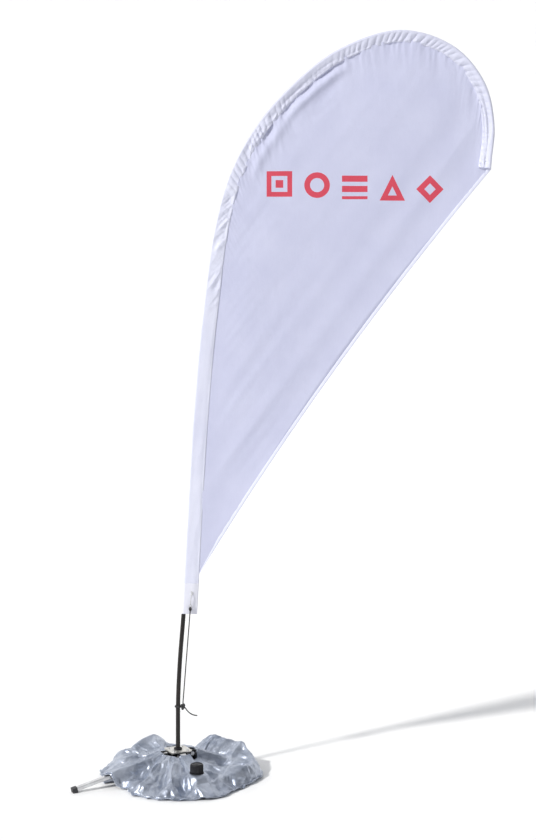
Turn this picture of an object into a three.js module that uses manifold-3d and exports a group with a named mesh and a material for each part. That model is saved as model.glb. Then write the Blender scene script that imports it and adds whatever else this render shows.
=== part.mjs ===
// Teardrop flag on a folding cross base, weighted by a water bag. Millimetres, +Z up.
// The origin is on the floor under the spindle. The flag flies towards +X and its front faces -Y.
import * as THREE from "three";
import { mergeVertices } from "three/addons/utils/BufferGeometryUtils.js";
import Module from "manifold-3d";

const wasm = await Module();
wasm.setup();

const TURN = 2 * Math.PI;
const GAP = 0.3; // left between pieces that touch on the real object

// Base: a post, a moulded hub with four hinged telescopic legs, and a plate on top.
const POST = { radius: 20, wall: 3, top: 57.7 };
const POST_FOOT = { radius: 24, thick: 4, plugTop: 24 };
const HUB = {
  half: 33, bottom: 58, top: 96, spigot: 42, earInner: 13, earThick: 5, earReach: 60, earBottom: 72,
};
const PLATE = { half: 40, thick: 4, corner: 8, screwAt: 26, hole: 9 };
const SCREW = { radius: 2.5, headRadius: 4.6, headHeight: 3, depth: 18 };
const PIVOT = { radius: 48, height: 84, pin: 4, headRadius: 7, headThick: 4 };

// Leg 1 is drawn out to its full length. The other three are pushed in.
const FIRST_LEG_AZIMUTH = THREE.MathUtils.degToRad(207);
const LEGS = 4;
const LEG = { inner: -8, outerEnd: 200, closedEnd: 228, travel: 127 };
const OUTER_TUBE = { width: 25, height: 17, wall: 1.5, corner: 3 };
const INNER_TUBE = { width: 20.4, height: 12.4, wall: 1.5, corner: 2, start: 10 };
const COLLAR = { lip: 2, length: 10 };
const FOOT = { width: 23, up: 7.6, down: 11, length: 26, end: 5 };

// Spindle: a rod that turns in a ball bearing in the hub, and carries the pole.
const SPINDLE = { radius: 6.35, bottom: 67, top: 244 };
const SPINDLE_COLLAR = { radius: 15, bottom: 101, top: 107 };
const SPINDLE_NUT = { acrossFlats: 19, bottom: 70, top: 76 };
const BEARING = { bottom: 80, top: 88, outer: 14.6, outerInside: 12.6, innerOutside: 9, ballRadius: 1.4 };
const SEAT_LIP_TOP = 79.7;

// Pole: three sections, each plugged into the one below. Arc lengths run from the bottom section's foot.
const POLE_FOOT = 107.3;
const BOTTOM_SECTION = { radius: 8, inside: 6.8, from: 0, to: 900 };
const MIDDLE_SECTION = { radius: 6.4, inside: 5, from: 840, to: 2020 };
const TIP_SECTION = { radius: 4.2, from: 1960 };
const FERRULE = { length: 60, wall: 1.1, fit: 0.6 };

// The line that the bent pole follows, in the plane of the flag: [x, z].
const POLE_LINE = [
  [0, POLE_FOOT], [0, 200], [0.5, 280], [7, 420], [20, 587], [31, 790], [45, 1050], [61, 1300],
  [80, 1530], [103, 1740], [134, 1960], [185, 2150], [268, 2310], [396, 2465], [580, 2610],
  [800, 2680], [985, 2625], [1094, 2500], [1130, 2350], [1117, 2190],
];

// Flag. Its sleeve is a flattened tube round the pole; "inward" is the side the panel is on.
const SLEEVE = {
  radius: 12.2, reach: 42, edgeHalf: 2, wall: 1.2,
  bottom: 590, joinHeight: 2105, lowerSteps: 20, upperSteps: 34,
};
const CUFF = { height: 108, thick: 1.1, fit: 0.5 };
const POCKET = { length: 30, closed: 6 };
const PANEL = { thick: 1.2, cornerHeight: 720, edgeHollow: 34, seamSteps: 44, edgeSteps: 10 };
const HEM = { width: 12, thick: 1.9 };

// Tension cord: hooks into the sleeve's eyelet and is knotted round the pole.
const EYELET = { x: 48.6, z: 662, hole: 3.6, radius: 7.4, front: -9, back: -6.4 };
const HOOK = { wire: 1.3, eyeRadius: 4.6, eyeHeight: 618, front: -15 };
const HOOK_KNOT = { radius: 5.6, half: 7.5, height: 605 };
const CORD_RADIUS = 2.1;
const POLE_KNOT = { bottom: 250, top: 259, radius: 12, lump: [8.5, 7.5, 13], x: 18, y: -8, z: 256 };
const CORD_TAIL = [[27.4, -8.4, 251], [33, -9, 242], [44, -9.5, 232], [57, -9, 225.5], [70, -7, 223]];

// Water bag: a ring that lies over the legs and is fuller at the back.
const BAG_PROFILE = [
  [66, 14], [84, 1], [256, 1], [274, 5], [280, 18], [272, 36], [248, 60], [210, 80],
  [165, 92], [120, 94], [84, 88], [66, 78],
];
const BAG_BACK_RISE = 0.2;
const BAG_RADIUS = 280;
const LEG_CORRIDOR = { width: 38, over: 2.5 };
const VALVE = { x: 77, y: -157, bottom: 62, neck: 22, capRadius: 23, capHeight: 32 };

const MATERIALS = {
  steel: new THREE.MeshStandardMaterial({ color: 0xb9bbbd, roughness: 0.35, metalness: 0.9 }),
  nylon: new THREE.MeshStandardMaterial({ color: 0x16171a, roughness: 0.55, metalness: 0 }),
  rubber: new THREE.MeshStandardMaterial({ color: 0x1b1b1c, roughness: 0.85, metalness: 0 }),
  composite: new THREE.MeshStandardMaterial({ color: 0x1d1a1b, roughness: 0.3, metalness: 0 }),
  polyester: new THREE.MeshStandardMaterial({ color: 0xe6e6f2, roughness: 0.8, metalness: 0 }),
  silverCloth: new THREE.MeshStandardMaterial({ color: 0xa9b1be, roughness: 0.4, metalness: 0.5 }),
  cord: new THREE.MeshStandardMaterial({ color: 0x26262a, roughness: 0.9, metalness: 0 }),
};

const flag = new THREE.Group();

// ---- Helpers -------------------------------------------------------------------------------------

function add(name, geometry, material, parent = flag) {
  const mesh = new THREE.Mesh(geometry, MATERIALS[material]);
  mesh.name = name;
  parent.add(mesh);
  return mesh;
}

function solid(geometry) {
  const plain = (geometry.index ? geometry.toNonIndexed() : geometry).clone();
  for (const name of Object.keys(plain.attributes)) {
    if (name !== "position") plain.deleteAttribute(name);
  }
  const merged = mergeVertices(plain, 1e-3);
  return new wasm.Manifold(new wasm.Mesh({
    numProp: 3,
    vertProperties: merged.attributes.position.array,
    triVerts: new Uint32Array(merged.index.array),
  }));
}

function geometryOf(manifold) {
  const mesh = manifold.getMesh();
  return new THREE.BufferGeometry()
    .setAttribute("position", new THREE.BufferAttribute(mesh.vertProperties, 3))
    .setIndex(new THREE.BufferAttribute(mesh.triVerts, 1));
}

function cut(geometry, ...cutters) {
  return geometryOf(cutters.reduce((left, cutter) => left.subtract(solid(cutter)), solid(geometry)));
}

function join(geometry, ...others) {
  return geometryOf(others.reduce((whole, other) => whole.add(solid(other)), solid(geometry)));
}

// A solid of revolution about Z, from [radius, height] points that run anticlockwise in that plane.
function turned(points, segments = 24) {
  const profile = points.map(([radius, height]) => new THREE.Vector2(radius, height));
  return new THREE.LatheGeometry(profile, segments).rotateX(Math.PI / 2);
}

function ring(inside, outside, bottom, top, segments = 24) {
  return turned(
    [[inside, bottom], [outside, bottom], [outside, top], [inside, top], [inside, bottom]],
    segments,
  );
}

function rod(radius, bottom, top, segments = 20) {
  return turned([[0, bottom], [radius, bottom], [radius, top], [0, top]], segments);
}

function box(from, to) {
  const size = to.map((value, axis) => value - from[axis]);
  return new THREE.BoxGeometry(...size).translate(...from.map((value, axis) => value + size[axis] / 2));
}

function roundedRectangle(across, up, corner) {
  const [x, y] = [across / 2, up / 2];
  const shape = new THREE.Shape();
  shape.absarc(x - corner, y - corner, corner, 0, TURN / 4);
  shape.absarc(corner - x, y - corner, corner, TURN / 4, TURN / 2);
  shape.absarc(corner - x, corner - y, corner, TURN / 2, 0.75 * TURN);
  shape.absarc(x - corner, corner - y, corner, 0.75 * TURN, TURN);
  return shape;
}

function prism(shape, depth, curveSegments = 3) {
  return new THREE.ExtrudeGeometry(shape, { depth, bevelEnabled: false, curveSegments });
}

// ---- Paths that bend with the pole ----------------------------------------------------------------

const poleLine = new THREE.CatmullRomCurve3(
  POLE_LINE.map(([x, z]) => new THREE.Vector3(x, 0, z)),
  false,
  "centripetal",
);
poleLine.arcLengthDivisions = 1200;
const POLE_LENGTH = poleLine.getLength();

class Stretch extends THREE.Curve {
  constructor(from, to) {
    super();
    this.from = from / POLE_LENGTH;
    this.span = (to - from) / POLE_LENGTH;
  }

  getPoint(share, target = new THREE.Vector3()) {
    const along = THREE.MathUtils.clamp(this.from + share * this.span, 0, 1);
    return target.copy(poleLine.getPointAt(along));
  }
}

// The arc length at which the pole reaches a height, on its way up.
function lengthAtHeight(height) {
  let [low, high] = [0, 0.6];
  while (high - low > 1e-6) {
    const middle = (low + high) / 2;
    if (poleLine.getPointAt(middle).z < height) low = middle;
    else high = middle;
  }
  return low * POLE_LENGTH;
}

// A point beside the pole: a distance inward from its line, at an arc length.
function beside(length, inward) {
  const share = Math.min(length / POLE_LENGTH, 1);
  const point = poleLine.getPointAt(share);
  const along = poleLine.getTangentAt(share);
  const past = Math.max(length - POLE_LENGTH, 0);
  return new THREE.Vector2(
    point.x + inward * along.z + past * along.x,
    point.z - inward * along.x + past * along.z,
  );
}

function swept(shape, path, steps, curveSegments) {
  return new THREE.ExtrudeGeometry(shape, { steps, extrudePath: path, curveSegments, bevelEnabled: false });
}

function disc(radius, hole = 0) {
  const shape = new THREE.Shape().absarc(0, 0, radius, 0, TURN);
  if (hole) shape.holes.push(new THREE.Path().absarc(0, 0, hole, 0, TURN));
  return shape;
}

// The sleeve's outline round the pole: shape x is towards the front, and shape y is inward.
function sleeveOutline(grow = 0) {
  const [radius, reach, edgeHalf] = [SLEEVE.radius + grow, SLEEVE.reach + grow, SLEEVE.edgeHalf + grow];
  const shape = new THREE.Shape();
  shape.moveTo(radius, 0);
  shape.bezierCurveTo(radius, reach * 0.5, edgeHalf, reach * 0.6, edgeHalf, reach);
  shape.lineTo(-edgeHalf, reach);
  shape.bezierCurveTo(-edgeHalf, reach * 0.6, -radius, reach * 0.5, -radius, 0);
  shape.absarc(0, 0, radius, Math.PI, TURN);
  return shape;
}

function sleeveShell(grow, wall) {
  const shape = sleeveOutline(grow);
  shape.holes.push(sleeveOutline(grow - wall));
  return shape;
}

// ---- Base ------------------------------------------------------------------------------------------

function buildPost() {
  const inside = POST.radius - POST.wall;
  const plug = inside - GAP;
  add("centre_post", ring(inside, POST.radius, POST_FOOT.thick + GAP, POST.top), "steel");
  const foot = [
    [0, 0], [POST_FOOT.radius, 0], [POST_FOOT.radius, POST_FOOT.thick],
    [plug, POST_FOOT.thick], [plug, POST_FOOT.plugTop], [0, POST_FOOT.plugTop],
  ];
  add("post_foot", turned(foot), "rubber");
}

function legAzimuth(index) {
  return FIRST_LEG_AZIMUTH + (index * TURN) / LEGS;
}

function screwPlaces() {
  return [[1, 1], [-1, 1], [-1, -1], [1, -1]].map(([x, y]) => [x * PLATE.screwAt, y * PLATE.screwAt]);
}

function buildHub() {
  const frame = new THREE.Group();
  frame.rotation.z = FIRST_LEG_AZIMUTH;
  flag.add(frame);

  const { half, bottom, top, earInner, earThick, earReach, earBottom } = HUB;
  let block = box([-half, -half, bottom], [half, half, top]);
  for (let index = 0; index < LEGS; index += 1) {
    for (const side of [-1, 1]) {
      const across = side * (earInner + earThick / 2);
      const ear = box(
        [half - 6, across - earThick / 2, earBottom],
        [earReach, across + earThick / 2, top],
      );
      block = join(block, ear.rotateZ((index * TURN) / LEGS));
    }
    const pinHole = new THREE.CylinderGeometry(PIVOT.pin + GAP, PIVOT.pin + GAP, 60, 16)
      .translate(PIVOT.radius, 0, PIVOT.height)
      .rotateZ((index * TURN) / LEGS);
    block = cut(block, pinHole);
  }
  const bearingSeat = rod(BEARING.outer + GAP, SEAT_LIP_TOP, top + 1, 32);
  const lipHole = rod(BEARING.innerOutside + 1, bottom + 10, SEAT_LIP_TOP + 1);
  const nutRoomRadius = SPINDLE_NUT.acrossFlats * 0.66;
  const nutRoom = rod(nutRoomRadius, HUB.spigot - 1, SPINDLE_NUT.top + 0.5);
  block = join(block, rod(POST.radius - POST.wall - GAP, HUB.spigot, bottom + 1));
  const screwHoles = screwPlaces().map(([x, y]) =>
    rod(SCREW.radius + GAP, top - SCREW.depth - 1, top + 1, 12).translate(x, y, 0));
  add("hub_block", cut(block, bearingSeat, lipHole, nutRoom, ...screwHoles), "nylon", frame);

  const plateBottom = top + GAP;
  const plateTop = plateBottom + PLATE.thick;
  const plate = prism(roundedRectangle(2 * PLATE.half, 2 * PLATE.half, PLATE.corner), PLATE.thick)
    .translate(0, 0, plateBottom);
  const plateHoles = screwPlaces().map(([x, y]) =>
    rod(SCREW.radius + GAP, plateBottom - 1, plateTop + 1, 12).translate(x, y, 0));
  add("hub_plate", cut(plate, rod(PLATE.hole, plateBottom - 1, plateTop + 1), ...plateHoles), "steel", frame);

  screwPlaces().forEach(([x, y], index) => {
    const head = plateTop + GAP;
    const screw = turned([
      [0, top - SCREW.depth], [SCREW.radius, top - SCREW.depth], [SCREW.radius, head],
      [SCREW.headRadius, head], [SCREW.headRadius, head + 0.6 * SCREW.headHeight],
      [0.6 * SCREW.headRadius, head + SCREW.headHeight], [0, head + SCREW.headHeight],
    ], 12);
    add(`plate_screw_${index + 1}`, screw.translate(x, y, 0), "steel", frame);
  });
}

function legSlope(index) {
  // The foot's end touches the floor, so a longer leg lies flatter.
  const length = LEG.closedEnd + (index === 0 ? LEG.travel : 0);
  const rise = PIVOT.height - FOOT.down * 0.72;
  return Math.asin(rise / length);
}

// A rectangular tube along the leg, from one distance from its pivot to another.
function legTube({ width, height, wall, corner }, from, to) {
  const shape = roundedRectangle(height, width, corner);
  shape.holes.push(roundedRectangle(height - 2 * wall, width - 2 * wall, corner - wall));
  return prism(shape, to - from, 2).rotateY(Math.PI / 2).translate(from, 0, 0);
}

function legBlock(width, height, corner, from, to) {
  return prism(roundedRectangle(height, width, corner), to - from, 2)
    .rotateY(Math.PI / 2)
    .translate(from, 0, 0);
}

function buildLeg(index) {
  const number = index + 1;
  const radial = new THREE.Group();
  radial.rotation.z = legAzimuth(index);
  flag.add(radial);
  const swing = new THREE.Group();
  swing.position.set(PIVOT.radius, 0, PIVOT.height);
  swing.rotation.y = legSlope(index);
  radial.add(swing);

  const pinHole = new THREE.CylinderGeometry(PIVOT.pin + GAP, PIVOT.pin + GAP, 60, 16);
  add(`leg_${number}_outer`, cut(legTube(OUTER_TUBE, LEG.inner, LEG.outerEnd), pinHole), "steel", swing);

  const bore = legBlock(INNER_TUBE.width + 2 * GAP, INNER_TUBE.height + 2 * GAP, INNER_TUBE.corner,
    LEG.outerEnd - 5, LEG.outerEnd + COLLAR.length + 5);
  const collar = legBlock(OUTER_TUBE.width + COLLAR.lip, OUTER_TUBE.height + COLLAR.lip, OUTER_TUBE.corner,
    LEG.outerEnd + GAP, LEG.outerEnd + COLLAR.length);
  add(`leg_${number}_collar`, cut(collar, bore), "nylon", swing);

  const drawn = index === 0 ? LEG.travel : 0;
  const end = LEG.closedEnd + drawn;
  const tubeEnd = end - FOOT.end;
  add(`leg_${number}_inner`, legTube(INNER_TUBE, INNER_TUBE.start + drawn, tubeEnd), "steel", swing);
  add(`leg_${number}_foot`, footGeometry(swing, end, tubeEnd, drawn), "rubber", swing);

  const earOutside = HUB.earInner + HUB.earThick + GAP;
  const pinEnd = earOutside + 7;
  const pin = turned([
    [0, -earOutside - PIVOT.headThick], [PIVOT.headRadius, -earOutside - PIVOT.headThick],
    [PIVOT.headRadius, -earOutside], [PIVOT.pin, -earOutside], [PIVOT.pin, pinEnd], [0, pinEnd],
  ], 16).rotateX(-Math.PI / 2).translate(PIVOT.radius, 0, PIVOT.height);
  add(`leg_${number}_pin`, pin, "steel", radial);
  const nut = ring(PIVOT.pin + GAP, PIVOT.headRadius, earOutside, earOutside + 5, 6)
    .rotateX(-Math.PI / 2)
    .translate(PIVOT.radius, 0, PIVOT.height);
  add(`leg_${number}_nut`, cut(nut, new THREE.CylinderGeometry(PIVOT.pin + GAP, PIVOT.pin + GAP, 80, 16)
    .translate(PIVOT.radius, 0, PIVOT.height)), "steel", radial);
}

// A cap over the inner tube's end, cut level with the floor.
function footGeometry(swing, end, tubeEnd, drawn) {
  const start = Math.max(end - FOOT.length, LEG.outerEnd + COLLAR.length + GAP + drawn);
  const body = box([start, -FOOT.width / 2, -FOOT.down], [end, FOOT.width / 2, FOOT.up]);
  const tubeRoom = legBlock(INNER_TUBE.width + 2 * GAP, INNER_TUBE.height + 2 * GAP, INNER_TUBE.corner,
    start - 5, tubeEnd + GAP);
  swing.updateMatrix();
  const floor = box([-200, -60, -60], [600, 60, 0]).applyMatrix4(swing.matrix.clone().invert());
  return cut(body, tubeRoom, floor);
}

// ---- Spindle -----------------------------------------------------------------------------------------

function buildSpindle() {
  const { bottom, top } = BEARING;
  add("bearing_outer_race", ring(BEARING.outerInside, BEARING.outer, bottom, top, 32), "steel");
  add("bearing_inner_race", ring(SPINDLE.radius + GAP, BEARING.innerOutside, bottom, top, 32), "steel");
  const ballTrack = (BEARING.outerInside + BEARING.innerOutside) / 2;
  const balls = new THREE.TorusGeometry(ballTrack, BEARING.ballRadius, 8, 24);
  add("bearing_ball_ring", balls.translate(0, 0, (bottom + top) / 2), "steel");

  const { radius } = SPINDLE;
  const shaft = [
    [0, SPINDLE.bottom], [radius - 1, SPINDLE.bottom], [radius, SPINDLE.bottom + 1],
    [radius, SPINDLE.top - 6], [radius - 3, SPINDLE.top], [0, SPINDLE.top],
  ];
  add("spindle_rod", turned(shaft), "steel");
  const collar = [
    [radius + GAP, SPINDLE_COLLAR.bottom], [SPINDLE_COLLAR.radius - 1, SPINDLE_COLLAR.bottom],
    [SPINDLE_COLLAR.radius, SPINDLE_COLLAR.bottom + 1], [SPINDLE_COLLAR.radius, SPINDLE_COLLAR.top - 2],
    [SPINDLE_COLLAR.radius - 3, SPINDLE_COLLAR.top], [radius + GAP, SPINDLE_COLLAR.top],
    [radius + GAP, SPINDLE_COLLAR.bottom],
  ];
  add("spindle_collar", turned(collar), "nylon");
  const nutRadius = SPINDLE_NUT.acrossFlats / Math.sqrt(3);
  const nut = rod(nutRadius, SPINDLE_NUT.bottom, SPINDLE_NUT.top, 6);
  add("spindle_nut", cut(nut, rod(radius + GAP, 60, 95)), "steel");
}

// ---- Pole --------------------------------------------------------------------------------------------

function addPoleSection(name, shape, from, to, steps, curveSegments) {
  add(name, swept(shape, new Stretch(from, to), steps, curveSegments), "composite");
}

function buildPole() {
  const bottom = BOTTOM_SECTION;
  const middle = MIDDLE_SECTION;
  const tip = TIP_SECTION;
  const tipEnd = POLE_LENGTH - POCKET.closed - 6;
  addPoleSection("pole_bottom_section", disc(bottom.radius, bottom.inside), bottom.from, bottom.to, 20, 10);
  addPoleSection("pole_middle_section", disc(middle.radius, middle.inside), middle.from, middle.to, 28, 5);
  addPoleSection("pole_tip_section", disc(tip.radius), tip.from, tipEnd - 14, 50, 4);
  add("pole_tip_cap", tipCap(tipEnd), "nylon");
  for (const [name, section] of [["lower_ferrule", bottom], ["upper_ferrule", middle]]) {
    const inside = section.radius + FERRULE.fit;
    const path = new Stretch(section.to - FERRULE.length, section.to);
    add(name, swept(disc(inside + FERRULE.wall, inside), path, 4, 6), "steel");
  }
}

// A rounded nylon cap over the tip section's end, closed at the far side.
function tipCap(end) {
  const wall = 1.4;
  const outside = swept(disc(TIP_SECTION.radius + GAP + wall), new Stretch(end - 30, end), 6, 5);
  const room = swept(disc(TIP_SECTION.radius + GAP), new Stretch(end - 34, end - 12), 6, 5);
  return cut(outside, room);
}

// ---- Flag --------------------------------------------------------------------------------------------

function buildFlag() {
  const sleeveStart = lengthAtHeight(SLEEVE.bottom);
  const pocketStart = POLE_LENGTH - POCKET.length;
  const eyeletHole = eyeletRing(0, EYELET.radius + GAP, -30, -2);

  // The sleeve is sewn from two lengths, which meet at a seam across it.
  const sleeveJoin = lengthAtHeight(SLEEVE.joinHeight);
  const lowerPath = new Stretch(sleeveStart, sleeveJoin - GAP);
  const lower = swept(sleeveShell(0, SLEEVE.wall), lowerPath, SLEEVE.lowerSteps, 3);
  add("sleeve_lower", cut(lower, eyeletHole), "polyester");
  const upperPath = new Stretch(sleeveJoin, pocketStart - GAP);
  add("sleeve_upper", swept(sleeveShell(0, SLEEVE.wall), upperPath, SLEEVE.upperSteps, 3), "polyester");

  const cuffPath = new Stretch(sleeveStart - 1, sleeveStart + CUFF.height);
  const cuff = swept(sleeveShell(CUFF.fit + CUFF.thick, CUFF.thick), cuffPath, 4, 3);
  add("sleeve_cuff", cut(cuff, eyeletHole), "polyester");

  const pocketPath = new Stretch(pocketStart, POLE_LENGTH - GAP);
  const pocketRoom = new Stretch(pocketStart - 5, POLE_LENGTH - POCKET.closed);
  const pocket = swept(sleeveOutline(), pocketPath, 3, 3);
  add("tip_pocket", cut(pocket, swept(sleeveOutline(-SLEEVE.wall), pocketRoom, 3, 3)), "polyester");

  // The panel and its hem are drawn a little under the sleeve, then cut back to clear it.
  const sleeveRooms = [
    swept(sleeveOutline(GAP), new Stretch(sleeveStart, sleeveJoin), SLEEVE.lowerSteps, 3),
    swept(sleeveOutline(GAP), upperPath, SLEEVE.upperSteps, 3),
    swept(sleeveOutline(GAP), new Stretch(pocketStart - 10, POLE_LENGTH), 4, 3),
  ];
  const cornerLength = lengthAtHeight(PANEL.cornerHeight);
  const edge = freeEdge(cornerLength);
  const seamPoints = Array.from({ length: PANEL.seamSteps + 1 }, (_, step) =>
    beside(cornerLength + ((POLE_LENGTH - cornerLength) * step) / PANEL.seamSteps, SLEEVE.reach - 22));
  const panelShape = new THREE.Shape([...seamPoints, ...besideEdge(edge, HEM.width + GAP)]);
  add("flag_panel", cut(sheet(panelShape, PANEL.thick), ...sleeveRooms), "polyester");

  const hemShape = new THREE.Shape([...besideEdge(edge, 0), ...besideEdge(edge, HEM.width).reverse()]);
  add("free_edge_hem", cut(sheet(hemShape, HEM.thick), ...sleeveRooms), "polyester");
}

// A flat sheet in the plane of the flag, from an outline in [x, z].
function sheet(shape, thick) {
  return prism(shape, thick).rotateX(Math.PI / 2).translate(0, thick / 2, 0);
}

// The flag's free edge, from the sleeve's far end back to the sleeve low on the pole, hollowed a little.
function freeEdge(cornerLength) {
  const start = beside(POLE_LENGTH, -SLEEVE.radius);
  const end = beside(cornerLength, SLEEVE.reach - 4);
  const chord = end.clone().sub(start).normalize();
  const bend = start.clone().add(end).multiplyScalar(0.5)
    .add(new THREE.Vector2(chord.y, -chord.x).multiplyScalar(2 * PANEL.edgeHollow));
  return new THREE.QuadraticBezierCurve(start, bend, end);
}

// Points along the free edge, moved a distance in from it.
function besideEdge(edge, inward) {
  return edge.getPoints(PANEL.edgeSteps).map((point, step) => {
    const along = edge.getTangent(step / PANEL.edgeSteps);
    return new THREE.Vector2(point.x + inward * along.y, point.y - inward * along.x);
  });
}

// ---- Tension cord ------------------------------------------------------------------------------------

function wire(points, radius, steps, segments = 4) {
  const path = new THREE.CatmullRomCurve3(points.map((point) => new THREE.Vector3(...point)));
  return swept(disc(radius), path, steps, segments);
}

function eyeletRing(inside, outside, front, back) {
  const body = inside ? ring(inside, outside, -back, -front, 20) : rod(outside, -back, -front, 20);
  return body.rotateX(Math.PI / 2).translate(EYELET.x, 0, EYELET.z);
}

function buildTension() {
  add("sleeve_eyelet", eyeletRing(EYELET.hole, EYELET.radius, EYELET.front, EYELET.back), "steel");

  const { front, wire: wireRadius } = HOOK;
  const shankTop = EYELET.z - 5;
  const hook = wire([
    [45.5, front, HOOK.eyeHeight + HOOK.eyeRadius],
    [47, front, (HOOK.eyeHeight + shankTop) / 2],
    [EYELET.x, front, shankTop],
    [EYELET.x, front + 2.4, EYELET.z],
    [EYELET.x, front + 6.5, EYELET.z + 0.6],
    [EYELET.x, front + 10.5, EYELET.z - 0.6],
  ], wireRadius, 22);
  const eye = new THREE.TorusGeometry(HOOK.eyeRadius, wireRadius, 8, 18)
    .rotateX(Math.PI / 2)
    .translate(45.3, front, HOOK.eyeHeight);
  add("tension_hook", join(hook, eye), "steel");

  const knotBottom = HOOK_KNOT.height - HOOK_KNOT.half;
  const knot = new THREE.SphereGeometry(1, 12, 8)
    .scale(HOOK_KNOT.radius, HOOK_KNOT.radius * 0.8, HOOK_KNOT.half - 1)
    .translate(45, front, HOOK_KNOT.height);
  add("hook_knot", knot, "cord");

  const cordTop = new THREE.Vector3(44.6, front + 0.4, knotBottom);
  const cordBottom = new THREE.Vector3(POLE_KNOT.x + 0.5, POLE_KNOT.y, POLE_KNOT.z + POLE_KNOT.lump[2] + 0.6);
  const cord = swept(disc(CORD_RADIUS), new THREE.LineCurve3(cordTop, cordBottom), 4, 4);
  add("tension_cord", cord, "cord");

  const wraps = ring(BOTTOM_SECTION.radius + GAP, POLE_KNOT.radius, POLE_KNOT.bottom, POLE_KNOT.top, 20);
  const lump = new THREE.SphereGeometry(1, 16, 10)
    .scale(...POLE_KNOT.lump)
    .translate(POLE_KNOT.x, POLE_KNOT.y, POLE_KNOT.z);
  const poleRoom = rod(BOTTOM_SECTION.radius + GAP, 200, 300);
  add("pole_knot", cut(join(wraps, lump), poleRoom), "cord");

  add("cord_tail", wire(CORD_TAIL, CORD_RADIUS, 12), "cord");
}

// ---- Water bag ---------------------------------------------------------------------------------------

function buildBag() {
  let bag = turned([...BAG_PROFILE, BAG_PROFILE[0]], 40);
  const place = bag.attributes.position;
  for (let index = 0; index < place.count; index += 1) {
    place.setZ(index, place.getZ(index) * (1 + (BAG_BACK_RISE * place.getY(index)) / BAG_RADIUS));
  }
  for (let index = 0; index < LEGS; index += 1) {
    bag = cut(bag, legCorridor(index));
  }
  const seat = rod(VALVE.capRadius + 4, VALVE.bottom, 140).translate(VALVE.x, VALVE.y, 0);
  add("water_bag", cut(bag, seat), "silverCloth");

  const neckTop = VALVE.bottom + VALVE.neck;
  const neck = ring(11, 15, VALVE.bottom + GAP, neckTop).translate(VALVE.x, VALVE.y, 0);
  const flange = ring(11, 25, VALVE.bottom + GAP, VALVE.bottom + 3).translate(VALVE.x, VALVE.y, 0);
  add("valve_neck", join(neck, flange), "nylon");
  const seal = ring(10, 15.5, neckTop + GAP, neckTop + 2).translate(VALVE.x, VALVE.y, 0);
  add("valve_seal", seal, "rubber");
  const capTop = VALVE.bottom + VALVE.capHeight;
  const cap = turned([
    [0, neckTop + 2 + GAP], [16.5, neckTop + 2 + GAP],
    [16.5, VALVE.bottom + 4], [VALVE.capRadius, VALVE.bottom + 4],
    [VALVE.capRadius, capTop - 2], [VALVE.capRadius - 2, capTop], [0, capTop],
  ]).translate(VALVE.x, VALVE.y, 0);
  add("valve_cap", cap, "nylon");
}

// The room that a leg needs under the bag: the leg itself, and everything that it swings down through.
function legCorridor(index) {
  const halfWidth = LEG_CORRIDOR.width / 2;
  const over = OUTER_TUBE.height / 2 + COLLAR.lip / 2 + LEG_CORRIDOR.over;
  return box([-40, -halfWidth, -400], [LEG.closedEnd + LEG.travel, halfWidth, over])
    .rotateY(legSlope(index))
    .translate(PIVOT.radius, 0, PIVOT.height)
    .rotateZ(legAzimuth(index));
}

buildPost();
buildHub();
for (let index = 0; index < LEGS; index += 1) buildLeg(index);
buildSpindle();
buildPole();
buildFlag();
buildTension();
buildBag();

export default flag;
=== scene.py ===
"""Teardrop flag on a folding cross base with a silver water bag: materials, cloth, light and camera."""
import math
from fnmatch import fnmatchcase

import bmesh
import bpy
import numpy as np
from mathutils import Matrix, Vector, noise


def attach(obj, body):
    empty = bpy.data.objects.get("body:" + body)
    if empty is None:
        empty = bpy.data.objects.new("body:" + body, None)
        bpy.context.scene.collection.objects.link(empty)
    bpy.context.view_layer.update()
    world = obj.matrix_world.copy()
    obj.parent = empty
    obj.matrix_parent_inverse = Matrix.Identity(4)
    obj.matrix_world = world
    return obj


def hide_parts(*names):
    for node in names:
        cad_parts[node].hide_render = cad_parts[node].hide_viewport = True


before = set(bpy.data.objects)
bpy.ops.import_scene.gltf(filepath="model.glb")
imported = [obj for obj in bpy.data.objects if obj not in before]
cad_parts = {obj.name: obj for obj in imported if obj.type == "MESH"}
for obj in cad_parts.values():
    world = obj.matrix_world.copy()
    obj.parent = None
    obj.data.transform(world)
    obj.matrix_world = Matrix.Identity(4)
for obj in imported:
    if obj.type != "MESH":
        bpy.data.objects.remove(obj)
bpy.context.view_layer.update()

MM = 0.001


# ---- Helpers ----

def smooth(value, low, high):
    """0 below low, 1 above high, and an S-curve between."""
    share = min(max((value - low) / (high - low), 0.0), 1.0)
    return share * share * (3 - 2 * share)


def ridge(x, y, seed):
    """Noise from -1 to 1 with sharp crests."""
    return 1 - 3.2 * abs(noise.noise(Vector((x, y, seed))))


def soft(x, y, seed):
    """Smooth noise, mostly from -1 to 1."""
    return 2 * noise.noise(Vector((x, y, seed)))


def mesh_object(name, points, faces, material):
    """A smooth-shaded mesh, with points that coincide merged."""
    mesh = bpy.data.meshes.new(name)
    mesh.from_pydata([tuple(p) for p in points], [], faces)
    mesh.update()
    body = bmesh.new()
    body.from_mesh(mesh)
    bmesh.ops.remove_doubles(body, verts=body.verts, dist=1e-6)
    bmesh.ops.recalc_face_normals(body, faces=body.faces)
    body.to_mesh(mesh)
    body.free()
    mesh.materials.append(material)
    mesh.shade_smooth()
    piece = bpy.data.objects.new(name, mesh)
    bpy.context.scene.collection.objects.link(piece)
    return piece


def grid_faces(rows, columns, wrap=False):
    """Quads of a grid of points in rows. wrap joins each row's last point to its first."""
    last = columns if wrap else columns - 1
    return [
        (r * columns + c, r * columns + (c + 1) % columns,
         (r + 1) * columns + (c + 1) % columns, (r + 1) * columns + c)
        for r in range(rows - 1)
        for c in range(last)
    ]


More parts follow.
